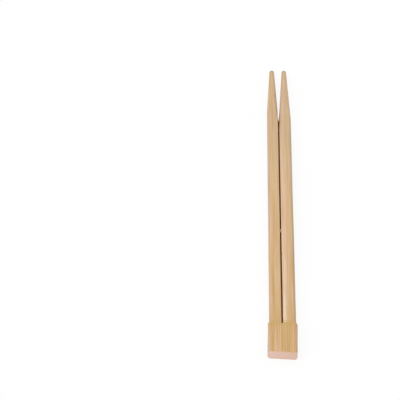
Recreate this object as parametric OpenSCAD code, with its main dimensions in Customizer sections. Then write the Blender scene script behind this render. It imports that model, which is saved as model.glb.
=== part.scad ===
// A pair of disposable bamboo chopsticks, still joined at the head.
// The pair is one slat of bamboo. Cutters rounded its two faces and stopped short of one end,
// a saw parted the two sticks, and each stick was brought to a round point. The uncut end is
// the head, where a user pulls the sticks apart.
//
// The slat lies flat on the XY plane: X runs across it, +Y towards the tips, and Z upwards.
// The origin is under the middle of the pair.

/* [Sticks] */
// Length from the sawn end of the head to the tips
length = 210; // [160:1:260]
// Mean width of one stick
stick_w = 5.85; // [5:0.05:8]
// Thickness of one stick
stick_t = 4.6; // [3.8:0.1:7]
// Rounding of a stick's outer edges, as the cutters leave it
stick_r = 1.6; // [0.8:0.1:2]
// Rounding of a stick's edges along the saw cut
inner_r = 0.6; // [0.3:0.1:1.6]

/* [Saw cut] */
// Width of the saw cut between the sticks
kerf_w = 0.75; // [0.5:0.05:1.2]
// How far the saw cut lies to the right of the slat's middle, or to the left if negative
kerf_offset = -0.25; // [-0.6:0.05:0.6]
// How far the saw cut runs on into the head
kerf_over = 0.3; // [0:0.1:6]
// How much of the rounding the saw and the side cutters take off each flank of a stick
flank_trim = 0.15; // [0.05:0.05:0.2]

/* [Head] */
// Length of the head, from its sawn end to the line where the cutters run out of its faces
head_l = 19; // [14:0.5:40]
// How far the head stands out past the sticks at each side
side_step = 0.65; // [0.2:0.05:1.2]
// How far the head stands above the sticks, and below them
face_step = 0.4; // [0.1:0.05:1]
// Length of the slope at each side, from the sticks out to the head
side_slope_l = 2; // [0.8:0.1:5]
// How far the slope on the left lies ahead of the one on the right, towards the tips
side_lead = 0.6; // [0:0.1:1.5]
// Radius that the cutters leave where they run out of the slat
cutter_r = 5; // [4:0.5:15]
// Rounding of the head's upper left edge
upper_left_r = 2; // [0.3:0.1:2.4]
// Rounding of the head's upper right edge
upper_right_r = 0.8; // [0.3:0.1:2.4]
// Rounding of the head's lower edges
lower_r = 2; // [0.3:0.1:2.4]
// Angle by which the head leans to the left of the sticks
head_lean = 1.1; // [0:0.1:2]
// Angle by which the sawn end is out of square
end_skew = 3.5; // [0:0.5:10]
// Bevel along the upper and lower edges of the sawn end
end_bevel = 0.3; // [0.1:0.05:0.8]

/* [Tips] */
// Length over which a stick of the mean width tapers to its tip
taper_l = 36; // [20:1:70]
// Diameter of a tip
tip_d = 2.5; // [1.6:0.1:3.5]
// Rounding of the rim of a tip
tip_r = 0.8; // [0.3:0.1:1]

/* [Hidden] */
$fn = 96;
bamboo = "#d5b38a";
// Room that a cut takes past the faces of the slat
clear = 2;

shank_w = 2 * stick_w + kerf_w;
slat_w = shank_w + 2 * side_step;
slat_t = stick_t + 2 * face_step;
mid_z = slat_t / 2;
end_y = -length / 2;
tip_y = length / 2;
head_y = end_y + head_l;
// The cutters stop short of the head by the length of the round run-out that they leave.
stop_y = head_y + sqrt(face_step * (2 * cutter_r - face_step));

// A stick is named by its side: -1 is the left one, 1 the right one.
SIDES = [-1, 1];
function width_of(side) = stick_w - side * kerf_offset;
function middle_of(side) = side * (shank_w - width_of(side)) / 2;
function edges_of(side) = side < 0
    ? [stick_r, inner_r, inner_r, stick_r]
    : [inner_r, stick_r, stick_r, inner_r];

// The cone of a point starts where it is wide enough to hold a whole stick.
taper = (stick_w - tip_d) / 2 / taper_l;
cone_r = norm([stick_w + abs(kerf_offset), stick_t]) / 2;
cone_y = tip_y - (cone_r - tip_d / 2) / taper;

// Outline of a bar, centred on the origin. Its four radii go round it clockwise, from the upper
// left one, and its four bands overlap between them.
module rounded_bar(w, t, radii) {
    band_w = 2 * w / 3;
    left = [for (r = radii) r - w / 2];
    upper = [for (r = radii) t / 2 - r];
    translate([left[0], 0])
        square([-left[1] - left[0], t / 2]);
    translate([left[3], -t / 2])
        square([-left[2] - left[3], t / 2]);
    translate([-w / 2, -upper[3]])
        square([band_w, upper[0] + upper[3]]);
    translate([w / 2 - band_w, -upper[2]])
        square([band_w, upper[1] + upper[2]]);
    translate([left[0], upper[0]])
        circle(radii[0]);
    translate([-left[1], upper[1]])
        circle(radii[1]);
    translate([-left[2], -upper[2]])
        circle(radii[2]);
    translate([left[3], -upper[3]])
        circle(radii[3]);
}

// A length of the planed slat, before anything is cut from it. It ends at the XZ plane.
module planed(l) {
    rotate([90, 0, 0])
        linear_extrude(l)
            rounded_bar(slat_w, slat_t, [upper_left_r, upper_right_r, lower_r, lower_r]);
}

// The slat: straight along the sticks, and leaning a little in the head.
module slat() {
    lap_y = head_y + side_lead + side_slope_l;
    translate([0, tip_y, mid_z])
        planed(tip_y - lap_y);
    translate([0, head_y, mid_z])
        rotate(-head_lean)
            translate([0, lap_y + clear - head_y, 0])
                planed(lap_y + 2 * clear - end_y);
}

// What the saw takes off at the head: the end, out of square, and the bevels of its edges.
module end_waste() {
    bevel_z = slat_t / 2 - end_bevel;
    skew_l = slat_w * tan(end_skew);
    translate([slat_w / 2, end_y, mid_z])
        rotate([90, 0, 90 - end_skew])
            linear_extrude(4 * slat_w, center = true)
                difference() {
                    translate([-skew_l - clear, -slat_t])
                        square([skew_l + clear + end_bevel, 2 * slat_t]);
                    polygon([
                        [0, -bevel_z],
                        [2 * slat_t, -bevel_z - 2 * slat_t],
                        [2 * slat_t, bevel_z + 2 * slat_t],
                        [0, bevel_z]
                    ]);
                }
}

// Section of a form cutter, with its axis along X through the origin and its work below. Between
// the sticks it reaches only as deep as the edges that it rounds there.
module cutter_section() {
    difference() {
        translate([-slat_w, -cutter_r - stick_r])
            square([2 * slat_w, stick_r + cutter_r / 2]);
        for (side = SIDES)
            translate([middle_of(side), -cutter_r - stick_t / 2])
                rounded_bar(width_of(side) + 2 * flank_trim, stick_t, edges_of(side));
        translate([middle_of(-1), -cutter_r - stick_t])
            square([middle_of(1) - middle_of(-1), stick_t - inner_r]);
    }
}

// What one form cutter takes away: a straight pass from the tips, and the round run-out that
// it leaves in the head where it stops.
module cutter_pass() {
    pass_l = tip_y - stop_y + clear;
    translate([0, pass_l, 0])
        rotate([90, 0, 0])
            linear_extrude(pass_l)
                cutter_section();
    rotate([0, 90, 0])
        rotate_extrude(angle = 90, start = 270)
            rotate(90)
                cutter_section();
}

// What a side cutter takes away on the right, with the slope that it leaves, which ends at y.
module side_waste(y) {
    translate([0, 0, -clear])
        linear_extrude(slat_t + 2 * clear)
            polygon([
                [shank_w / 2, tip_y + clear],
                [shank_w / 2, y + side_slope_l],
                [shank_w / 2 + 2 * side_step, y - side_slope_l],
                [shank_w / 2 + 2 * side_step, tip_y + clear]
            ]);
}

// The saw cut that parts the sticks.
module kerf() {
    kerf_y = head_y - kerf_over;
    translate([kerf_offset - kerf_w / 2, kerf_y, -clear])
        cube([kerf_w, tip_y + clear - kerf_y, slat_t + 2 * clear]);
}

// Half outline of a point, from the axis outwards, with the rim of its end rounded.
module point_outline() {
    slant = norm([1, taper]);
    rim_x = tip_d / 2 + tip_r * (taper - slant);
    rim_y = tip_y - tip_r;
    base_y = cone_y - clear;
    base_r = cone_r + clear * taper;
    intersection() {
        translate([0, base_y])
            square([base_r, tip_y - base_y]);
        union() {
            polygon([
                [0, base_y],
                [base_r, base_y],
                [rim_x + tip_r / slant, rim_y + tip_r * taper / slant],
                [rim_x, tip_y],
                [0, tip_y]
            ]);
            translate([rim_x, rim_y])
                circle(tip_r);
        }
    }
}

// What is taken off around one stick to bring it to a point.
module point_waste(side) {
    room_w = width_of(side) + kerf_w;
    translate([middle_of(side), 0, mid_z])
        difference() {
            translate([-room_w / 2, cone_y, -slat_t])
                cube([room_w, tip_y + clear - cone_y, 2 * slat_t]);
            rotate([-90, 0, 0])
                rotate_extrude()
                    point_outline();
        }
}

module chopstick_pair() {
    color(bamboo)
        difference() {
            slat();
            end_waste();
            translate([0, stop_y, mid_z])
                for (below = [0, 1])
                    mirror([0, 0, below])
                        translate([0, 0, stick_t / 2 + cutter_r])
                            cutter_pass();
            for (left = [0, 1])
                mirror([left, 0, 0])
                    side_waste(head_y + left * side_lead);
            kerf();
            for (side = SIDES)
                point_waste(side);
        }
}

chopstick_pair();
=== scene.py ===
# %% [markdown]
# # A joined pair of bamboo chopsticks
# The object is one slat of bamboo. Form cutters rounded its two faces and stopped short of one
# end, a saw parted the sticks, and each stick was brought to a round point. This lesson gives the
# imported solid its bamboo: a fine mesh with fibre relief, the grain and its tones, the torn fibres
# in the saw cut and one splinter. Sizes are in millimetres until they meet Blender, which counts
# in metres.

# %% Load the frame
import math

import bmesh
import bpy
import numpy as np
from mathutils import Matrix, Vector


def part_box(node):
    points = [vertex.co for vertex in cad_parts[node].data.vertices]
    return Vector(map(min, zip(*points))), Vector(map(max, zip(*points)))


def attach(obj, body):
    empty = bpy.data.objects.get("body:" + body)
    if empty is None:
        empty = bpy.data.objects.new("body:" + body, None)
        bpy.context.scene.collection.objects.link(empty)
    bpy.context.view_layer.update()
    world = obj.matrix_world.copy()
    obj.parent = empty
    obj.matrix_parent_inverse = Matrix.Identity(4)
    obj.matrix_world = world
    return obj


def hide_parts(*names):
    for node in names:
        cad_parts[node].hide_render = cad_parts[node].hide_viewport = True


MM = 0.001

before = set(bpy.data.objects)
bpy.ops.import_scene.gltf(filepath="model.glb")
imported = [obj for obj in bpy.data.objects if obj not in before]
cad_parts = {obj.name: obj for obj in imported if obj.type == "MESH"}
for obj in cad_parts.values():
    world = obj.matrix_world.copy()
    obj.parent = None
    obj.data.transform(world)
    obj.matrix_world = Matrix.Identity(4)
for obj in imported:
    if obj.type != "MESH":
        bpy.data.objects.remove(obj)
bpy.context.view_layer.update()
solid_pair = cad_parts["chopstick_pair"]
low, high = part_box("chopstick_pair")
print("pair, mm:", [round(extent / MM, 2) for extent in high - low])

# %% [markdown]
# ## The camera
# The pair lies with its head towards the viewer, to the right of the picture's middle. The camera
# looks down at it from the front through a long lens, so its long edges run almost parallel. A
# camera could be tracked to an empty, but an aim point, a distance and two angles say the same in
# numbers that can be read.

# %% Camera
AIM = Vector((-40.49, 2.85, 0.0))
CAMERA_AWAY = 850.4
CAMERA_PITCH = math.radians(42.467)
CAMERA_TURN = math.radians(1.295)
LENS, SENSOR_W = 151.34, 36.0

camera = bpy.data.objects.new("camera", bpy.data.cameras.new("camera"))
bpy.context.scene.collection.objects.link(camera)
bpy.context.scene.camera = camera
camera.data.sensor_width = SENSOR_W
camera.data.lens = LENS
back = Vector((
    math.sin(CAMERA_TURN) * math.cos(CAMERA_PITCH),
    -math.cos(CAMERA_TURN) * math.cos(CAMERA_PITCH),
    math.sin(CAMERA_PITCH),
))
camera.location = (AIM + back * CAMERA_AWAY) * MM
camera.rotation_euler = (-back).to_track_quat("-Z", "Y").to_euler()
print("camera, mm:", [round(c / MM, 1) for c in camera.location])

# %% [markdown]
# ## Colours and nodes
# Colours are written as sRGB hex values, as they are picked on a screen, and shaders want linear
# ones, so one function turns one into the other. A second one adds a node to any tree with its
# settings and links, and hands back the node's outputs, so that a tree reads from top to bottom
# like a recipe. Sockets can be called by name or by number. Two kinds of node come up again and
# again, and a Mix node has several sockets of the same name, so their numbers get names here.

# %% Helpers
MATH, VECTOR = "ShaderNodeMath", "ShaderNodeVectorMath"
RANGE, MIX = "ShaderNodeMapRange", "ShaderNodeMix"
# Map Range: a value, two marks on its scale, and what comes out at the one and at the other
VALUE, FROM, TO, START, END = range(5)
# Mix, for colours: the share of the upper colour, the lower and the upper one, and the result
SHARE, UNDER, OVER, MIXED = 0, 6, 7, 2


def linear(hex_colour):
    """A linear RGBA colour from an sRGB hex value."""
    parts = [int(hex_colour[i:i + 2], 16) / 255 for i in (1, 3, 5)]
    return [c / 12.92 if c <= 0.04045 else ((c + 0.055) / 1.055) ** 2.4 for c in parts] + [1.0]


def add(tree, kind, inputs=None, **settings):
    """Add a node to a tree, set it, feed its inputs with values or sockets, return its outputs."""
    node = tree.nodes.new(kind)
    for name, value in settings.items():
        setattr(node, name, value)
    for socket, value in (inputs or {}).items():
        if isinstance(value, bpy.types.NodeSocket):
            tree.links.new(value, node.inputs[socket])
        else:
            node.inputs[socket].default_value = value
    return node.outputs


def emptied(owner):
    """The node tree of a material or a world, with nothing in it."""
    owner.use_nodes = True
    owner.node_tree.nodes.clear()
    return owner.node_tree


print("a mid grey in linear light:", [round(c, 3) for c in linear("#808080")])

# %% [markdown]
# ## The floor
# The pair lies on white paper. A plane that bends up behind the object would also give a white
# ground, but the camera looks down steeply, so one large square fills the picture.

# %% Floor
FLOOR_SIDE = 6000.0

half = FLOOR_SIDE / 2 * MM
corners = [(-half, -half, 0), (half, -half, 0), (half, half, 0), (-half, half, 0)]
floor_mesh = bpy.data.meshes.new("floor")
floor_mesh.from_pydata(corners, [], [(0, 1, 2, 3)])
floor = bpy.data.objects.new("floor", floor_mesh)
bpy.context.scene.collection.objects.link(floor)
print("floor, m:", FLOOR_SIDE * MM)

# %% [markdown]
# ## White paper
# Uncoated paper is matt and takes soft shadows. A camera would expose it to white: seen straight
# from the camera it glows a little, which leaves only a breath of shadow. More light would do the
# same, but it would bleach the bamboo too. Under the sticks the paper doesn't glow, because there
# the saw cut has to keep its own shade, and right below the cut it is painted brown: painted shade
# that stands for the light it gets from the brown walls.

# %% Where the paper is open, and where the sticks cover it
COVER_W, COVER_FROM, COVER_TO = 5.5, -104.0, 65.0
COVER_FADE_X, COVER_FADE_Y = 1.0, 4.0

paper = bpy.data.materials.new("white paper")
sheet = emptied(paper)
floor_spot = add(sheet, "ShaderNodeSeparateXYZ", {0: add(sheet, "ShaderNodeTexCoord")["Object"]})
aside = add(sheet, MATH, {0: floor_spot["X"]}, operation="ABSOLUTE")[0]
fade = {VALUE: aside, FROM: COVER_W * MM, TO: (COVER_W + COVER_FADE_X) * MM}
beside = add(sheet, RANGE, fade)[0]
fade = {VALUE: floor_spot["Y"], FROM: COVER_TO * MM, TO: (COVER_TO + COVER_FADE_Y) * MM}
behind = add(sheet, RANGE, fade)[0]
before = add(sheet, MATH, {0: floor_spot["Y"], 1: COVER_FROM * MM}, operation="LESS_THAN")[0]
open_floor = add(sheet, MATH, {0: beside, 1: behind}, operation="MAXIMUM")[0]
open_floor = add(sheet, MATH, {0: open_floor, 1: before}, operation="MAXIMUM")[0]
covered = add(sheet, MATH, {0: 1.0, 1: open_floor}, operation="SUBTRACT")[0]
print("covered strip, mm:", 2 * COVER_W, "by", COVER_TO - COVER_FROM)

# %% Glow of the paper, and painted shade below the cut
PAPER_GLOW = 0.88
# The brown below the saw cut is painted shade, standing for the light the paper gets from the brown
# walls.
PAPER_WHITE, CUT_SHADE_TINT = "#fcfcfc", "#966a28"
CUT_SHADE_W, CUT_SHADE_FADE = 2.0, 1.0


def seen_straight(tree):
    """Whether the eye meets a surface directly, in a mirror or through glass."""
    rays = add(tree, "ShaderNodeLightPath")
    either = {0: rays["Is Camera Ray"], 1: rays["Is Glossy Ray"]}
    mirrored = add(tree, MATH, either, operation="MAXIMUM")[0]
    return add(tree, MATH, {0: mirrored, 1: rays["Is Transmission Ray"]}, operation="MAXIMUM")[0]


glow = add(sheet, MATH, {0: seen_straight(sheet), 1: open_floor}, operation="MULTIPLY")[0]
glow = add(sheet, MATH, {0: glow, 1: PAPER_GLOW}, operation="MULTIPLY")[0]
# Painted shade: right below the cut the paper is painted brown.
fade = {VALUE: aside, FROM: (CUT_SHADE_W + CUT_SHADE_FADE) * MM, TO: CUT_SHADE_W * MM}
floor_cut_shade = add(sheet, RANGE, fade)[0]
floor_cut_shade = add(sheet, MATH, {0: floor_cut_shade, 1: covered}, operation="MULTIPLY")[0]
tones = {SHARE: floor_cut_shade, UNDER: linear(PAPER_WHITE), OVER: linear(CUT_SHADE_TINT)}
paper_tone = add(sheet, MIX, tones, data_type="RGBA")[MIXED]
matt = add(sheet, "ShaderNodeBsdfDiffuse", {"Color": paper_tone})["BSDF"]
white = add(sheet, "ShaderNodeEmission", {"Color": (1, 1, 1, 1), "Strength": 1.0})["Emission"]
paper_face = add(sheet, "ShaderNodeMixShader", {0: glow, 1: matt, 2: white})[0]
add(sheet, "ShaderNodeOutputMaterial", {"Surface": paper_face})
floor_mesh.materials.append(paper)
print("paper nodes:", len(sheet.nodes))

# %% [markdown]
# ## Light
# A wide white sky and a weak, broad key light from the front left. Several lamps could do it, but
# a sky leaves no reflections to place. The two levels add up to about one on a level surface, so
# a colour comes out about as it is written.

# %% Sky and key light
SKY_LEVEL = 0.88
KEY_LEVEL = 0.14
KEY_WIDTH = math.radians(50)
KEY_FROM = Vector((-0.75, -0.55, 0.95)).normalized()

world = bpy.data.worlds.new("white room")
bpy.context.scene.world = world
dome = emptied(world)
level = add(dome, RANGE, {VALUE: seen_straight(dome), START: SKY_LEVEL, END: 1.0})[0]
sky = add(dome, "ShaderNodeBackground", {"Color": (1, 1, 1, 1), "Strength": level})["Background"]
add(dome, "ShaderNodeOutputWorld", {"Surface": sky})

key = bpy.data.objects.new("key", bpy.data.lights.new("key", "SUN"))
bpy.context.scene.collection.objects.link(key)
key.data.energy = KEY_LEVEL * math.pi / KEY_FROM.z
key.data.angle = KEY_WIDTH
key.rotation_euler = KEY_FROM.to_track_quat("Z", "Y").to_euler()
bpy.context.scene.view_settings.view_transform = "Standard"
print("light on a level surface:", SKY_LEVEL + KEY_LEVEL)

# %% [markdown]
# ## Where things lie
# The places along and across the slat that the bamboo, the mesh and the torn fibres all need:
# where the cutters ran out of the head, how far the saw went on, how much the head leans to the
# left, and where each stick's axis is. They could be searched for in the solid's points, but a
# maker knows them from the drawing.

# %% Places on the slat
LENGTH, HEAD_L = 210.0, 19.0
HEAD_LEAN = math.radians(1.1)
SAW_PAST = 0.3
SAW_X, SAW_W = -0.25, 0.75
LEFT_AXIS, RIGHT_AXIS, MIDDLE_Z = -3.425, 3.175, 2.7

tip_y = high.y / MM
end_y = tip_y - LENGTH
head_y = end_y + HEAD_L
cut_y = head_y - SAW_PAST
print("the head ends at", round(head_y, 3), "and the saw cut at", round(cut_y, 3))

# %% [markdown]
# ## Bamboo: bands
# Planed bamboo is matt to the eye, with a faint sheen, and striped. A slat is split from the wall
# of a culm, so its bands run from end to end: amber and honey where the fibre bundles lie close
# together and straw and rosy pith between them. The left edges, which face the key light, carry a
# painted sheen, and the right edges, which face away from it, painted shade. A wood texture would
# draw rings, which bamboo doesn't have. A ramp across the slat, whose stops wander a little along
# it, is the plainer match.

# %% Grain that runs along the slat
WANDER, WANDER_W, WANDER_L = 0.4, 9.0, 60.0

bamboo = bpy.data.materials.new("planed bamboo")
skin = emptied(bamboo)
metres = add(skin, "ShaderNodeTexCoord")["Object"]
place = add(skin, VECTOR, {0: metres, "Scale": 1 / MM}, operation="SCALE")[0]
x, y, z = add(skin, "ShaderNodeSeparateXYZ", {0: place})


def stretched(width, length, detail):
    """Noise that runs along the slat: its width across the fibres and length along them, in mm."""
    scale = (1 / width, 1 / length, 1 / width)
    mapped = add(skin, "ShaderNodeMapping", {"Vector": place, "Scale": scale})["Vector"]
    return add(skin, "ShaderNodeTexNoise", {"Vector": mapped, "Scale": 1.0, "Detail": detail})["Fac"]


drift = {VALUE: stretched(WANDER_W, WANDER_L, 1.0), FROM: 0.3, TO: 0.7, START: -WANDER, END: WANDER}
wander = add(skin, RANGE, drift)[0]
wandered = add(skin, MATH, {0: x, 1: wander}, operation="ADD")[0]
print("bands wander, mm:", WANDER, "to each side over", WANDER_L)

# %% [markdown]
# ## Bamboo: two layers
# The cutters took the sticks down to a deeper layer than the head's, so the sticks have a ramp of
# their own. A straight line could part the two, but the layers meet on the slope where the cutters
# ran out. A face that looks towards the tips lies on it, so the edge follows the round marks.

# %% Bands across the slat
ROSY, STRAW, HONEY, TAN, AMBER = "#dab592", "#d4b083", "#d0a973", "#d6a97f", "#c79c5b"
LEFT_EDGE_SHEEN, HEAD_LEFT_SHEEN, FAWN, RIGHT_EDGE_SHADE, SHADED = "#c4aca9", "#c4b5c4", "#cfb08a", "#b59b82", "#8e7256"
# The lilac and mauve stops at the left edges are a painted sheen, and the dull and shaded stops at the
# right edges are painted shade.
STICK_BANDS = [
    (-6.3, LEFT_EDGE_SHEEN), (-5.5, ROSY), (-5.0, STRAW), (-3.9, HONEY), (-3.0, STRAW), (-1.2, STRAW),
    (0.3, ROSY), (2.6, ROSY), (3.6, STRAW), (5.0, FAWN), (5.9, RIGHT_EDGE_SHADE), (6.3, SHADED),
]
HEAD_BANDS = [
    (-6.7, HEAD_LEFT_SHEEN), (-6.3, ROSY), (-5.9, AMBER), (-5.0, AMBER), (-4.4, STRAW), (-3.4, HONEY),
    (-2.6, ROSY), (-1.2, ROSY), (-0.9, HONEY), (1.2, STRAW), (2.7, AMBER), (4.4, TAN), (5.3, TAN),
    (6.7, SHADED),
]
BAND_SPAN = 7.0
SLOPE_FROM, SLOPE_TO = 0.12, 0.28
LINE_FROM, LINE_TO = 0.8, 1.8


def banded(share, bands):
    """A ramp across the slat, from a list of places in mm and tones."""
    tone = add(skin, "ShaderNodeValToRGB", {0: share})["Color"]
    ramp = tone.node.color_ramp
    for stop, colour in bands:
        ramp.elements.new((stop + BAND_SPAN) / (2 * BAND_SPAN)).color = linear(colour)
    ramp.elements.remove(ramp.elements[-1])
    ramp.elements.remove(ramp.elements[0])
    return tone


across = add(skin, RANGE, {VALUE: wandered, FROM: -BAND_SPAN, TO: BAND_SPAN})[0]
facing = add(skin, "ShaderNodeSeparateXYZ", {0: add(skin, "ShaderNodeNewGeometry")["Normal"]})
on_slope = add(skin, RANGE, {VALUE: facing["Y"], FROM: SLOPE_FROM, TO: SLOPE_TO})[0]
past_line = add(skin, RANGE, {VALUE: y, FROM: head_y + LINE_FROM, TO: head_y + LINE_TO})[0]
past_head = add(skin, MATH, {0: on_slope, 1: past_line}, operation="MAXIMUM")[0]
layers = {SHARE: past_head, UNDER: banded(across, HEAD_BANDS), OVER: banded(across, STICK_BANDS)}
toned = add(skin, MIX, layers, data_type="RGBA")[MIXED]
print("bands:", len(STICK_BANDS), "on the sticks,", len(HEAD_BANDS), "on the head")

# %% [markdown]
# ## Bamboo: ripeness, and pith with a painted highlight
# The slat is riper, more amber, towards the head, and duller towards the tips. Beside the saw cut
# the right stick's rounding, which faces the key light, shows a pale strip, broadest near the head:
# pale pith and a painted highlight. More ramps could hold these, but each is one tone that fades
# along the length, so a share of it is mixed in.

# %% Ripeness along the slat
AGED = "#b59e7a"
RIPE_SHARE, AGED_SHARE = 0.55, 0.35
RIPE_FROM, RIPE_TO, AGED_TO = -90.0, 0.0, 60.0

ripe = add(skin, RANGE, {VALUE: y, FROM: RIPE_FROM, TO: RIPE_TO, START: RIPE_SHARE, END: 0.0})[0]
aged = add(skin, RANGE, {VALUE: y, FROM: RIPE_TO, TO: AGED_TO, START: 0.0, END: AGED_SHARE})[0]
for share, tone in [(ripe, AMBER), (aged, AGED)]:
    toned = add(skin, MIX, {SHARE: share, UNDER: toned, OVER: linear(tone)}, data_type="RGBA")[MIXED]
print("ripe at the head, aged at the tips:", RIPE_SHARE, AGED_SHARE)

# %% Pale pith and painted highlight beside the cut
CREAM_HIGHLIGHT = "#ecd2ba"
PITH_HIGHLIGHT_W, PITH_HIGHLIGHT_FADE = 1.6, 1.3
PITH_HIGHLIGHT_FROM, PITH_HIGHLIGHT_TO, PITH_HIGHLIGHT_MOST, PITH_HIGHLIGHT_LEAST = -70.0, -10.0, 0.9, 0.1

# The cream strip is pale pith with a painted highlight, on the rounding that faces the key light.
pith_highlight = add(skin, RANGE, {VALUE: wandered, FROM: PITH_HIGHLIGHT_W + PITH_HIGHLIGHT_FADE, TO: PITH_HIGHLIGHT_W})[0]
right_of_cut = add(skin, MATH, {0: x, 1: SAW_X}, operation="GREATER_THAN")[0]
along = {VALUE: y, FROM: PITH_HIGHLIGHT_FROM, TO: PITH_HIGHLIGHT_TO, START: PITH_HIGHLIGHT_MOST, END: PITH_HIGHLIGHT_LEAST}
for limit in [right_of_cut, add(skin, RANGE, along)[0], past_head]:
    pith_highlight = add(skin, MATH, {0: pith_highlight, 1: limit}, operation="MULTIPLY")[0]
toned = add(skin, MIX, {SHARE: pith_highlight, UNDER: toned, OVER: linear(CREAM_HIGHLIGHT)}, data_type="RGBA")[MIXED]
print("pith reaches, mm:", PITH_HIGHLIGHT_W)

# %% [markdown]
# ## Bamboo: patches, streaks and fibres
# The fibre bundles are dark threads about half a millimetre wide that come and go over a few
# centimetres, with pale pith between them, and over longer patches the slat is now rosier, now
# more yellow. Painted threads would need a picture, so stretched noise does it: its peaks take one
# tone and its valleys another. Single fibres are finer than the picture can show, so they are drawn
# as coarse as a seventh of a millimetre and only as a soft relief.

# %% Patches and streaks
FLUSHED, SALLOW, BUNDLE, PITH = "#ddb89e", "#cdac6e", "#b88c50", "#e8cdb6"
PATCH_W, PATCH_L = 2.2, 22.0
STREAK_W, STREAK_L = 0.5, 40.0

patch = stretched(PATCH_W, PATCH_L, 1.0)
streak = stretched(STREAK_W, STREAK_L, 2.0)
for noise, start, full, most, tone in [
    (patch, 0.54, 0.7, 0.3, FLUSHED), (patch, 0.5, 0.3, 0.45, SALLOW),
    (streak, 0.52, 0.75, 0.7, BUNDLE), (streak, 0.48, 0.25, 0.5, PITH),
]:
    share = add(skin, RANGE, {VALUE: noise, FROM: start, TO: full, END: most})[0]
    toned = add(skin, MIX, {SHARE: share, UNDER: toned, OVER: linear(tone)}, data_type="RGBA")[MIXED]
print("streaks, mm:", STREAK_W, "by", STREAK_L)

# %% Fibres
FIBRE_W, FIBRE_L = 0.14, 9.0
FIBRE_DEPTH, FIBRE_STRENGTH = 0.03, 0.35

fibres = stretched(FIBRE_W, FIBRE_L, 2.0)
bump = {"Strength": FIBRE_STRENGTH, "Distance": FIBRE_DEPTH * MM, "Height": fibres}
grain = add(skin, "ShaderNodeBump", bump)["Normal"]
print("fibres, mm:", FIBRE_W, "by", FIBRE_L)

# %% [markdown]
# ## Bamboo: an olive band on the head
# Just before the shoulder the head is a little darker and more olive. A third ramp could show it,
# but it is one tone too: it fades towards the sawn end and stops at the sticks.

# %% Olive band on the head
OLIVE = "#c5a055"
OLIVE_BAND_FROM, OLIVE_BAND_TO, OLIVE_BAND_SHARE = -3.5, -0.5, 0.55

# Darker and more olive towards the shoulder.
olive_band = add(skin, RANGE, {VALUE: y, FROM: head_y + OLIVE_BAND_FROM, TO: head_y + OLIVE_BAND_TO, END: OLIVE_BAND_SHARE})[0]
in_head = add(skin, MATH, {0: 1.0, 1: past_head}, operation="SUBTRACT")[0]
olive_band = add(skin, MATH, {0: olive_band, 1: in_head}, operation="MULTIPLY")[0]
toned = add(skin, MIX, {SHARE: olive_band, UNDER: toned, OVER: linear(OLIVE)}, data_type="RGBA")[MIXED]
print("rubbed, mm:", OLIVE_BAND_TO - OLIVE_BAND_FROM)

# %% [markdown]
# ## Bamboo: the sawn end
# Where the slat is cut across, the bundles show as dots in pale rosy pith. A second material on
# those faces would need them marked. A face that looks along the slat is one of them, so its
# normal tells, and a Voronoi texture with a cell for each bundle draws the dots.

# %% Sawn end
END_PITH, END_SHADE, END_DOT = "#e1c0b1", "#d9b7a5", "#c49a7c"
END_FROM, END_TO = 0.7, 0.95
DOT_PITCH, DOT_RUN = 0.8, 20.0
DOT_RIM, DOT_CORE, DOT_SHARE = 0.35, 0.2, 0.7

end_on = add(skin, MATH, {0: facing["Y"]}, operation="ABSOLUTE")[0]
end_share = add(skin, RANGE, {VALUE: end_on, FROM: END_FROM, TO: END_TO})[0]
cell_scale = (1 / DOT_PITCH, 1 / DOT_RUN, 1 / DOT_PITCH)
cells = add(skin, "ShaderNodeMapping", {"Vector": place, "Scale": cell_scale})["Vector"]
dots = add(skin, "ShaderNodeTexVoronoi", {"Vector": cells, "Scale": 1.0})["Distance"]
dot_share = add(skin, RANGE, {VALUE: dots, FROM: DOT_RIM, TO: DOT_CORE, END: DOT_SHARE})[0]
tones = {SHARE: across, UNDER: linear(END_PITH), OVER: linear(END_SHADE)}
end_tone = add(skin, MIX, tones, data_type="RGBA")[MIXED]
tones = {SHARE: dot_share, UNDER: end_tone, OVER: linear(END_DOT)}
end_tone = add(skin, MIX, tones, data_type="RGBA")[MIXED]
toned = add(skin, MIX, {SHARE: end_share, UNDER: toned, OVER: end_tone}, data_type="RGBA")[MIXED]
print("bundles, mm apart:", DOT_PITCH)

# %% [markdown]
# ## Bamboo: painted shade in the cut, and the worn tips
# The walls of the saw cut, all but their upper edge, are painted dark brown as the shade in the
# narrow cut, and have no sheen. The tips have gone grey at their very ends. Both follow from where a
# face lies, so no piece needs a material of its own.

# %% Painted shade in the saw cut
CUT_SHADE_BROWN = "#a2610a"
CUT_SHADE_SHARE = 0.9
WALL_RIM, WALL_CORE = 0.1, 0.02
EDGE_TOP, EDGE_FOOT = 4.7, 4.3

from_cut = add(skin, MATH, {0: x, 1: SAW_X}, operation="SUBTRACT")[0]
from_cut = add(skin, MATH, {0: from_cut}, operation="ABSOLUTE")[0]
# Painted shade: the walls of the cut below their upper edge are painted dark brown.
walls = {VALUE: from_cut, FROM: SAW_W / 2 + WALL_RIM, TO: SAW_W / 2 + WALL_CORE, END: CUT_SHADE_SHARE}
cut_wall_shade = add(skin, RANGE, walls)[0]
past_cut = add(skin, MATH, {0: y, 1: cut_y - WALL_RIM}, operation="GREATER_THAN")[0]
below_edge = add(skin, RANGE, {VALUE: z, FROM: EDGE_TOP, TO: EDGE_FOOT})[0]
for limit in [past_cut, below_edge]:
    cut_wall_shade = add(skin, MATH, {0: cut_wall_shade, 1: limit}, operation="MULTIPLY")[0]
toned = add(skin, MIX, {SHARE: cut_wall_shade, UNDER: toned, OVER: linear(CUT_SHADE_BROWN)}, data_type="RGBA")[MIXED]
print("browned below, mm:", EDGE_TOP)

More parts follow.
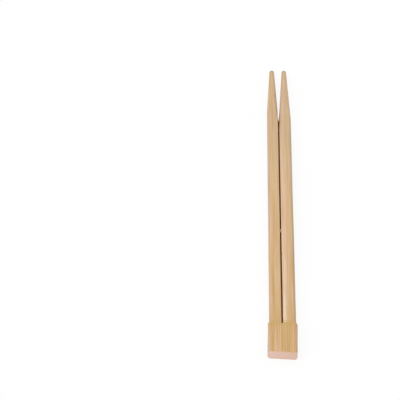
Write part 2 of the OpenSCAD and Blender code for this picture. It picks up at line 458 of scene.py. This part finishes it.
# %% Worn tips and the finished surface
WORN = "#9a9580"
WEAR_FROM, WEAR_TO, WEAR_SHARE = -2.5, -0.3, 0.75
ROUGHNESS, SHEEN = 0.5, 0.5

worn = add(skin, RANGE, {VALUE: y, FROM: tip_y + WEAR_FROM, TO: tip_y + WEAR_TO, END: WEAR_SHARE})[0]
toned = add(skin, MIX, {SHARE: worn, UNDER: toned, OVER: linear(WORN)}, data_type="RGBA")[MIXED]
# No sheen where the cut's shade is painted.
sheen = add(skin, RANGE, {VALUE: cut_wall_shade, START: SHEEN, END: 0.0})[0]
finish = {"Base Color": toned, "Roughness": ROUGHNESS, "Specular IOR Level": sheen, "Normal": grain}
surface = add(skin, "ShaderNodeBsdfPrincipled", finish)["BSDF"]
add(skin, "ShaderNodeOutputMaterial", {"Surface": surface})
print("bamboo nodes:", len(skin.nodes))

# %% [markdown]
# ## The chart
# A cutter leaves smooth faces and soft edges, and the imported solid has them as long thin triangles
# that can't carry relief. So each stick gets a chart: a sheet of points that counts steps round
# the stick and stations along it. A subdivided copy would be simpler, but its points would fall
# where the triangles happen to lie, and here they can crowd where the shape turns: at the
# shoulder, where the cutters stopped, and towards the tips. A station stands close by each side of
# the cut's end, so that the cut starts with a clean edge.

# %% Stations along the sticks
RUN_OUT = 3.0
TAPER_L = 50.0
RIM = 0.8
END_DEPTH = 2.0
HAIR = 0.004
SHANK_STEP, SHOULDER_STEP, TAPER_STEP = 2.5, 0.1, 1.0

legs = [
    (end_y + END_DEPTH, head_y - RUN_OUT, SHANK_STEP),
    (head_y - RUN_OUT, head_y + RUN_OUT, SHOULDER_STEP),
    (head_y + RUN_OUT, tip_y - TAPER_L, SHANK_STEP),
    (tip_y - TAPER_L, tip_y - RIM, TAPER_STEP),
]
stations = {cut_y - HAIR, cut_y + HAIR}
for start, stop, step in legs:
    spaced = np.linspace(start, stop, round((stop - start) / step) + 1)
    stations.update(station for station in spaced.tolist() if abs(station - cut_y) > 2 * HAIR)
stations = sorted(stations)
print("stations:", len(stations))

# %% The chart's mesh
AROUND = 100
END_BEVEL = 0.3
END_RINGS = (0.0, 0.3, 0.6, 1 - END_BEVEL / MIDDLE_Z, 0.999)
TIP_RINGS = (0.999, 0.97, 0.93, 0.87, 0.78, 0.66, 0.5, 0.25, 0.0)

rings = [(end_y + END_DEPTH, reach, -1) for reach in END_RINGS]
rings += [(station, 1.0, 0) for station in stations]
rings += [(tip_y - RIM, reach, 1) for reach in TIP_RINGS]
points, faces, reaches, caps = [], [], [], []
for hand in (-1, 1):
    first = len(points)
    for station, reach, cap in rings:
        points += [(2 * k / AROUND - 1, station * MM, hand) for k in range(AROUND + 1)]
        reaches += [reach] * (AROUND + 1)
        caps += [cap] * (AROUND + 1)
    for row in range(len(rings) - 1):
        for k in range(AROUND):
            a = first + row * (AROUND + 1) + k
            b = a + AROUND + 1
            faces.append((a, a + 1, b + 1, b)[::hand])
chart = bpy.data.meshes.new("bamboo_pair")
chart.from_pydata(points, [], faces)
chart.attributes.new("reach", "FLOAT", "POINT").data.foreach_set("value", reaches)
chart.attributes.new("cap", "FLOAT", "POINT").data.foreach_set("value", caps)
bamboo_pair = bpy.data.objects.new("bamboo_pair", chart)
bpy.context.scene.collection.objects.link(bamboo_pair)
print("chart:", len(points), "points,", len(faces), "faces")

# %% [markdown]
# ## Wrapping the chart round the solid
# A Geometry Nodes tree shoots a ray from each stick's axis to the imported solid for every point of
# the chart. A Shrinkwrap modifier would only pull points to the nearest face, and would crowd them
# at the edges. With rays the new mesh keeps the solid's form by the way it is made.

# %% The tree and its inputs
RAY = "GeometryNodeRaycast"


def new_tree(name, sockets):
    """A Geometry Nodes tree with a geometry in and out, and its inputs' outputs by name."""
    tree = bpy.data.node_groups.new(name, "GeometryNodeTree")
    for title, kind in [("Geometry", "Geometry"), *sockets]:
        tree.interface.new_socket(title, in_out="INPUT", socket_type="NodeSocket" + kind)
    tree.interface.new_socket("Geometry", in_out="OUTPUT", socket_type="NodeSocketGeometry")
    return tree, add(tree, "NodeGroupInput")


wrap, given = new_tree("wrap a chart round two sticks", [
    ("Solid", "Object"), ("Left axis", "Float"), ("Right axis", "Float"), ("Middle height", "Float"),
    ("Saw cut", "Float"), ("Head slope", "Float"), ("Wall share", "Float"), ("Relief depth", "Float"),
    ("Fibre width", "Float"), ("Fibre length", "Float"), ("Material", "Material"),
])
solid = add(wrap, "GeometryNodeObjectInfo", {"Object": given["Solid"]})["Geometry"]
chart_spot = add(wrap, "GeometryNodeInputPosition")[0]
around, station_y, side = add(wrap, "ShaderNodeSeparateXYZ", {0: chart_spot})
on_right = add(wrap, "FunctionNodeCompare", {0: side, 1: 0.0}, operation="GREATER_THAN")[0]
axes = {"Switch": on_right, "False": given["Left axis"], "True": given["Right axis"]}
axis_x = add(wrap, "GeometryNodeSwitch", axes, input_type="FLOAT")[0]
axis = add(wrap, "ShaderNodeCombineXYZ", {0: axis_x, 1: station_y, 2: given["Middle height"]})[0]
inward = add(wrap, MATH, {0: side, 1: -1.0}, operation="MULTIPLY")[0]
upward = add(wrap, MATH, {0: around}, operation="SIGN")[0]
print("wrap tree so far:", len(wrap.nodes), "nodes")

# %% [markdown]
# ### The wall that faces the other stick
# The wall along the saw cut is flat and meets the faces in a tight corner. Rays at even angles
# would cut that corner off, so two probes measure it: one across to the wall, or in the head, where
# there is none, to the plane of the cut, and one up or down along the wall to its corner.

# %% Distance of the wall, and height of its corner
JUST_INSIDE = 0.01

towards = add(wrap, "ShaderNodeCombineXYZ", {0: inward})[0]
probe = {"Target Geometry": solid, "Source Position": axis, "Ray Direction": towards}
wall_hit = add(wrap, RAY, probe)["Hit Distance"]
to_cut = add(wrap, MATH, {0: given["Saw cut"], 1: axis_x}, operation="SUBTRACT")[0]
to_cut = add(wrap, MATH, {0: to_cut}, operation="ABSOLUTE")[0]
wall = add(wrap, MATH, {0: wall_hit, 1: to_cut}, operation="MINIMUM")[0]
inside = add(wrap, MATH, {0: wall, 1: JUST_INSIDE * MM}, operation="SUBTRACT")[0]
shift = add(wrap, VECTOR, {0: towards, "Scale": inside}, operation="SCALE")[0]
foot = add(wrap, VECTOR, {0: axis, 1: shift}, operation="ADD")[0]
rise = add(wrap, "ShaderNodeCombineXYZ", {2: upward})[0]
probe = {"Target Geometry": solid, "Source Position": foot, "Ray Direction": rise}
corner = add(wrap, RAY, probe)["Hit Distance"]
print("wrap tree so far:", len(wrap.nodes), "nodes")

# %% [markdown]
# ### The ray of each point
# The first steps of the chart climb the wall by even heights, and the others go on round the stick
# by even angles. In the head a ray stops at the plane of the cut.

# %% Direction and length of the rays
LEAST_COSINE = 0.001

steps = add(wrap, MATH, {0: around}, operation="ABSOLUTE")[0]
climb = add(wrap, RANGE, {VALUE: steps, TO: given["Wall share"], END: corner})[0]
on_wall = add(wrap, MATH, {0: climb, 1: wall}, operation="ARCTAN2")[0]
corner_angle = add(wrap, MATH, {0: corner, 1: wall}, operation="ARCTAN2")[0]
rest = add(wrap, MATH, {0: math.pi, 1: corner_angle}, operation="SUBTRACT")[0]
past_wall = add(wrap, RANGE, {VALUE: steps, FROM: given["Wall share"], TO: 1.0, END: rest})[0]
angle = add(wrap, MATH, {0: on_wall, 1: past_wall}, operation="ADD")[0]
cosine = add(wrap, MATH, {0: angle}, operation="COSINE")[0]
sine = add(wrap, MATH, {0: angle}, operation="SINE")[0]
ray_x = add(wrap, MATH, {0: inward, 1: cosine}, operation="MULTIPLY")[0]
ray_z = add(wrap, MATH, {0: upward, 1: sine}, operation="MULTIPLY")[0]
ray = add(wrap, "ShaderNodeCombineXYZ", {0: ray_x, 2: ray_z})[0]
probe = {"Target Geometry": solid, "Source Position": axis, "Ray Direction": ray}
hit = add(wrap, RAY, probe)["Hit Distance"]
slope = add(wrap, MATH, {0: cosine, 1: LEAST_COSINE}, operation="MAXIMUM")[0]
to_plane = add(wrap, MATH, {0: wall, 1: slope}, operation="DIVIDE")[0]
radius = add(wrap, MATH, {0: hit, 1: to_plane}, operation="MINIMUM")[0]
print("wrap tree so far:", len(wrap.nodes), "nodes")

# %% [markdown]
# ### The ends
# The points of the end rings stand inside the stick. They go on along the slat, or along the
# leaning head, until they meet the tip or the sawn end, so the ends are closed by the same rule.

# %% Place of each point
reach = add(wrap, "GeometryNodeInputNamedAttribute", {"Name": "reach"}, data_type="FLOAT")[0]
cap = add(wrap, "GeometryNodeInputNamedAttribute", {"Name": "cap"}, data_type="FLOAT")[0]
arm_l = add(wrap, MATH, {0: radius, 1: reach}, operation="MULTIPLY")[0]
arm = add(wrap, VECTOR, {0: ray, "Scale": arm_l}, operation="SCALE")[0]
wrapped = add(wrap, VECTOR, {0: axis, 1: arm}, operation="ADD")[0]
at_head = add(wrap, MATH, {0: cap, 1: 0.0}, operation="MINIMUM")[0]
lean_x = add(wrap, MATH, {0: at_head, 1: given["Head slope"]}, operation="MULTIPLY")[0]
onward = add(wrap, "ShaderNodeCombineXYZ", {0: lean_x, 1: cap})[0]
probe = {"Target Geometry": solid, "Source Position": wrapped, "Ray Direction": onward}
end_spot = add(wrap, RAY, probe)["Hit Position"]
in_cap = add(wrap, "FunctionNodeCompare", {0: cap, 1: 0.0, "Epsilon": 0.5}, operation="NOT_EQUAL")[0]
spots = {"Switch": in_cap, "False": wrapped, "True": end_spot}
goal = add(wrap, "GeometryNodeSwitch", spots, input_type="VECTOR")[0]
halves = add(wrap, "GeometryNodeSetPosition", {"Geometry": given["Geometry"], "Position": goal})[0]
print("wrap tree so far:", len(wrap.nodes), "nodes")

# %% [markdown]
# ### One closed skin
# In the head both halves have faces on the plane of the cut. They are deleted and the borders
# merged, which leaves one skin. Planing lifts the fibres a little, so stretched noise moves the
# points along their normals. A Displace modifier could do that too, but not before the halves are
# joined. Edges that bend sharply are shaded sharp.

# %% Halves joined, with relief and sharp edges
SHARP = math.radians(32)
SEAM, WELD = 0.03, 0.01

now = add(wrap, "GeometryNodeInputPosition")[0]
now_x = add(wrap, "ShaderNodeSeparateXYZ", {0: now})["X"]
near_seam = {0: now_x, 1: given["Saw cut"], "Epsilon": SEAM * MM}
on_seam = add(wrap, "FunctionNodeCompare", near_seam, operation="EQUAL")[0]
unwanted = {"Geometry": halves, "Selection": on_seam}
opened = add(wrap, "GeometryNodeDeleteGeometry", unwanted, domain="FACE")[0]
joined = add(wrap, "GeometryNodeMergeByDistance", {"Geometry": opened, "Distance": WELD * MM})[0]
widths = {0: given["Fibre width"], 1: given["Fibre length"], 2: given["Fibre width"]}
stretch = add(wrap, "ShaderNodeCombineXYZ", widths)[0]
fibre_place = add(wrap, VECTOR, {0: now, 1: stretch}, operation="DIVIDE")[0]
ridges = add(wrap, "ShaderNodeTexNoise", {"Vector": fibre_place, "Scale": 1.0, "Detail": 2.0})[0]
height = add(wrap, RANGE, {VALUE: ridges, FROM: 0.25, TO: 0.75, START: -0.5, END: 0.5})[0]
depth = add(wrap, MATH, {0: height, 1: given["Relief depth"]}, operation="MULTIPLY")[0]
outward = add(wrap, "GeometryNodeInputNormal")[0]
push = add(wrap, VECTOR, {0: outward, "Scale": depth}, operation="SCALE")[0]
relief = add(wrap, "GeometryNodeSetPosition", {"Geometry": joined, "Offset": push})[0]
smooth = add(wrap, "GeometryNodeSetShadeSmooth", {"Geometry": relief})[0]
bend = add(wrap, "GeometryNodeInputMeshEdgeAngle")["Unsigned Angle"]
sharp = add(wrap, "FunctionNodeCompare", {0: bend, 1: SHARP}, operation="GREATER_THAN")[0]
edges = {"Geometry": smooth, "Selection": sharp, "Shade Smooth": False}
creased = add(wrap, "GeometryNodeSetShadeSmooth", edges, domain="EDGE")[0]
whole = add(wrap, "GeometryNodeRealizeInstances", {"Geometry": creased})[0]
clad = add(wrap, "GeometryNodeSetMaterial", {"Geometry": whole, "Material": given["Material"]})[0]
add(wrap, "NodeGroupOutput", {"Geometry": clad})
print("wrap tree:", len(wrap.nodes), "nodes")

# %% [markdown]
# ### The pair
# The modifier's inputs are set by their identifiers, and its result is kept as a plain mesh, which
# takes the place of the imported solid. A closed skin has no open edges, and its volume tells that
# its faces point outwards.

# %% The pair's mesh
WALL_SHARE = 0.2
RELIEF_DEPTH, RELIEF_W, RELIEF_L = 0.03, 0.35, 14.0


def grown(obj, tree, **values):
    """Run a tree on an object with its inputs set, and keep the result as its plain mesh."""
    modifier = obj.modifiers.new(tree.name, "NODES")
    modifier.node_group = tree
    for socket in tree.interface.items_tree:
        title = socket.name.lower().replace(" ", "_")
        if socket.in_out == "INPUT" and title in values:
            modifier[socket.identifier] = values[title]
    evaluated = obj.evaluated_get(bpy.context.evaluated_depsgraph_get())
    mesh = bpy.data.meshes.new_from_object(evaluated)
    obj.modifiers.clear()
    obj.data = mesh
    return mesh


pair_mesh = grown(
    bamboo_pair, wrap, solid=solid_pair, left_axis=LEFT_AXIS * MM, right_axis=RIGHT_AXIS * MM,
    middle_height=MIDDLE_Z * MM, saw_cut=SAW_X * MM, head_slope=math.tan(HEAD_LEAN),
    wall_share=WALL_SHARE, relief_depth=RELIEF_DEPTH * MM, fibre_width=RELIEF_W * MM,
    fibre_length=RELIEF_L * MM, material=bamboo,
)
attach(bamboo_pair, "root")
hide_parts("chopstick_pair")
measured = bmesh.new()
measured.from_mesh(pair_mesh)
open_edges = [edge for edge in measured.edges if not edge.is_manifold]
volume = measured.calc_volume(signed=True) / MM ** 3
measured.free()
print("pair:", len(pair_mesh.polygons), "faces,", len(open_edges), "open edges,", round(volume), "mm3")

# %% [markdown]
# ## Torn fibres in the saw cut
# Bamboo tears along its fibres, so a saw leaves its walls furred with fibres that still hold at
# one end and fill the lower part of the cut. Hair particles would vanish from an export, so a tree
# scatters real slivers over the walls: each has four sides, leaves the wall at a low angle and
# runs along the stick. They hide the paper below the cut and take the walls' painted shade, so
# the cut reads dark brown.

# %% Places of the torn fibres
WALL_SLACK = 0.1

fuzz, given = new_tree("torn fibres on the walls of a saw cut", [
    ("Saw cut", "Float"), ("Cut width", "Float"), ("Lowest", "Float"), ("Highest", "Float"),
    ("Cut end", "Float"), ("Gap start", "Float"), ("Density", "Float"), ("Fibre length", "Float"),
    ("Fibre radius", "Float"), ("Seed", "Int"), ("Material", "Material"),
])
wall_spot = add(fuzz, "GeometryNodeInputPosition")[0]
wall_x, wall_y, wall_z = add(fuzz, "ShaderNodeSeparateXYZ", {0: wall_spot})
reach_in = {0: given["Cut width"], 1: 0.5, 2: WALL_SLACK * MM}
half_cut = add(fuzz, MATH, reach_in, operation="MULTIPLY_ADD")[0]
in_cut = {0: wall_x, 1: given["Saw cut"], "Epsilon": half_cut}
chosen = add(fuzz, "FunctionNodeCompare", in_cut, operation="EQUAL")[0]
for measure, bound, test in [
    (wall_z, "Lowest", "GREATER_THAN"), (wall_z, "Highest", "LESS_THAN"),
    (wall_y, "Cut end", "GREATER_THAN"), (wall_y, "Gap start", "LESS_THAN"),
]:
    passed = add(fuzz, "FunctionNodeCompare", {0: measure, 1: given[bound]}, operation=test)[0]
    chosen = add(fuzz, "FunctionNodeBooleanMath", {0: chosen, 1: passed}, operation="AND")[0]
scatter = {
    "Mesh": given["Geometry"], "Selection": chosen, "Density": given["Density"], "Seed": given["Seed"],
}
roots = add(fuzz, "GeometryNodeDistributePointsOnFaces", scatter)
print("fuzz tree so far:", len(fuzz.nodes), "nodes")

# %% Slivers on those places
LEAST_LEAN, MOST_LEAN, MOST_DIP = 0.02, 0.14, 0.06
SMALLEST, LARGEST = (0.6, 0.6, 0.4), (1.2, 1.2, 1.4)

spread = {
    "Min": (LEAST_LEAN, -1.0, -MOST_DIP), "Max": (MOST_LEAN, 1.0, MOST_DIP), "Seed": given["Seed"],
}
chance = add(fuzz, "FunctionNodeRandomValue", spread, data_type="FLOAT_VECTOR")[0]
lean, way, dip = add(fuzz, "ShaderNodeSeparateXYZ", {0: chance})
way = add(fuzz, MATH, {0: way}, operation="SIGN")[0]
run = add(fuzz, "ShaderNodeCombineXYZ", {1: way, 2: dip})[0]
tilt = add(fuzz, VECTOR, {0: roots["Normal"], "Scale": lean}, operation="SCALE")[0]
heading = add(fuzz, VECTOR, {0: run, 1: tilt}, operation="ADD")[0]
turn = add(fuzz, "FunctionNodeAlignRotationToVector", {"Vector": heading}, axis="Z")[0]
sizes = {"Min": SMALLEST, "Max": LARGEST, "Seed": given["Seed"]}
size = add(fuzz, "FunctionNodeRandomValue", sizes, data_type="FLOAT_VECTOR")[0]
sliver = {"Vertices": 4, "Radius Bottom": given["Fibre radius"], "Depth": given["Fibre length"]}
fibre = add(fuzz, "GeometryNodeMeshCone", sliver)["Mesh"]
planted = {"Points": roots["Points"], "Instance": fibre, "Rotation": turn, "Scale": size}
fur = add(fuzz, "GeometryNodeInstanceOnPoints", planted)[0]
whole = add(fuzz, "GeometryNodeRealizeInstances", {"Geometry": fur})[0]
clad = add(fuzz, "GeometryNodeSetMaterial", {"Geometry": whole, "Material": given["Material"]})[0]
add(fuzz, "NodeGroupOutput", {"Geometry": clad})
print("fuzz tree:", len(fuzz.nodes), "nodes")

# %% The torn fibres
# The fibres lie below the walls' upper edge, so they take the cut's painted shade.
FUZZ_LOW, FUZZ_HIGH = 0.6, 4.0
FUZZ_FROM, FUZZ_TO = cut_y + 1.0, 60.0
FUZZ_PER_MM2 = 2.6
FUZZ_L, FUZZ_R = 4.0, 0.09
FUZZ_SEED = 4

saw_fuzz = bpy.data.objects.new("saw_fuzz", pair_mesh.copy())
bpy.context.scene.collection.objects.link(saw_fuzz)
fuzz_mesh = grown(
    saw_fuzz, fuzz, saw_cut=SAW_X * MM, cut_width=SAW_W * MM, lowest=FUZZ_LOW * MM,
    highest=FUZZ_HIGH * MM, cut_end=FUZZ_FROM * MM, gap_start=FUZZ_TO * MM,
    density=FUZZ_PER_MM2 / MM ** 2, fibre_length=FUZZ_L * MM, fibre_radius=FUZZ_R * MM,
    seed=FUZZ_SEED, material=bamboo,
)
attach(saw_fuzz, "root")
print("torn fibres:", len(fuzz_mesh.vertices) // 5)

# %% [markdown]
# ## One splinter across the cut
# About a third of the way along, one splinter still bridges the saw cut. It is thin and a little
# bowed, so a tree draws it as a tapered tube along a curve. A bent cylinder would look the same
# but would need its points moved by hand.

# %% Tree of the splinter
splint, given = new_tree("splinter along a curve", [
    ("Start", "Vector"), ("Bow", "Vector"), ("End", "Vector"), ("Radius", "Float"),
    ("Thin end", "Float"), ("Material", "Material"),
])
path = {"Resolution": 8, "Start": given["Start"], "Middle": given["Bow"], "End": given["End"]}
line = add(splint, "GeometryNodeCurveQuadraticBezier", path)[0]
gone = add(splint, "GeometryNodeSplineParameter")["Factor"]
taper = add(splint, RANGE, {VALUE: gone, START: 1.0, END: given["Thin end"]})[0]
thin = add(splint, "GeometryNodeSetCurveRadius", {"Curve": line, "Radius": taper})[0]
rim = {"Resolution": 6, "Radius": given["Radius"]}
profile = add(splint, "GeometryNodeCurvePrimitiveCircle", rim)["Curve"]
swept = {"Curve": thin, "Profile Curve": profile, "Fill Caps": True}
tube = add(splint, "GeometryNodeCurveToMesh", swept)[0]
whole = add(splint, "GeometryNodeRealizeInstances", {"Geometry": tube})[0]
clad = add(splint, "GeometryNodeSetMaterial", {"Geometry": whole, "Material": given["Material"]})[0]
add(splint, "NodeGroupOutput", {"Geometry": clad})
print("splinter tree:", len(splint.nodes), "nodes")

# %% The splinter
SPLINTER_START = Vector((-0.9, -26.0, 4.6))
SPLINTER_BOW = Vector((-0.3, -24.0, 5.1))
SPLINTER_END = Vector((0.6, -21.5, 4.7))
SPLINTER_R, SPLINTER_THIN = 0.18, 0.35

splinter = bpy.data.objects.new("splinter", bpy.data.meshes.new("splinter"))
bpy.context.scene.collection.objects.link(splinter)
splinter_mesh = grown(
    splinter, splint, start=SPLINTER_START * MM, bow=SPLINTER_BOW * MM, end=SPLINTER_END * MM,
    radius=SPLINTER_R * MM, thin_end=SPLINTER_THIN, material=bamboo,
)
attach(splinter, "root")
print("splinter:", len(splinter_mesh.polygons), "faces")
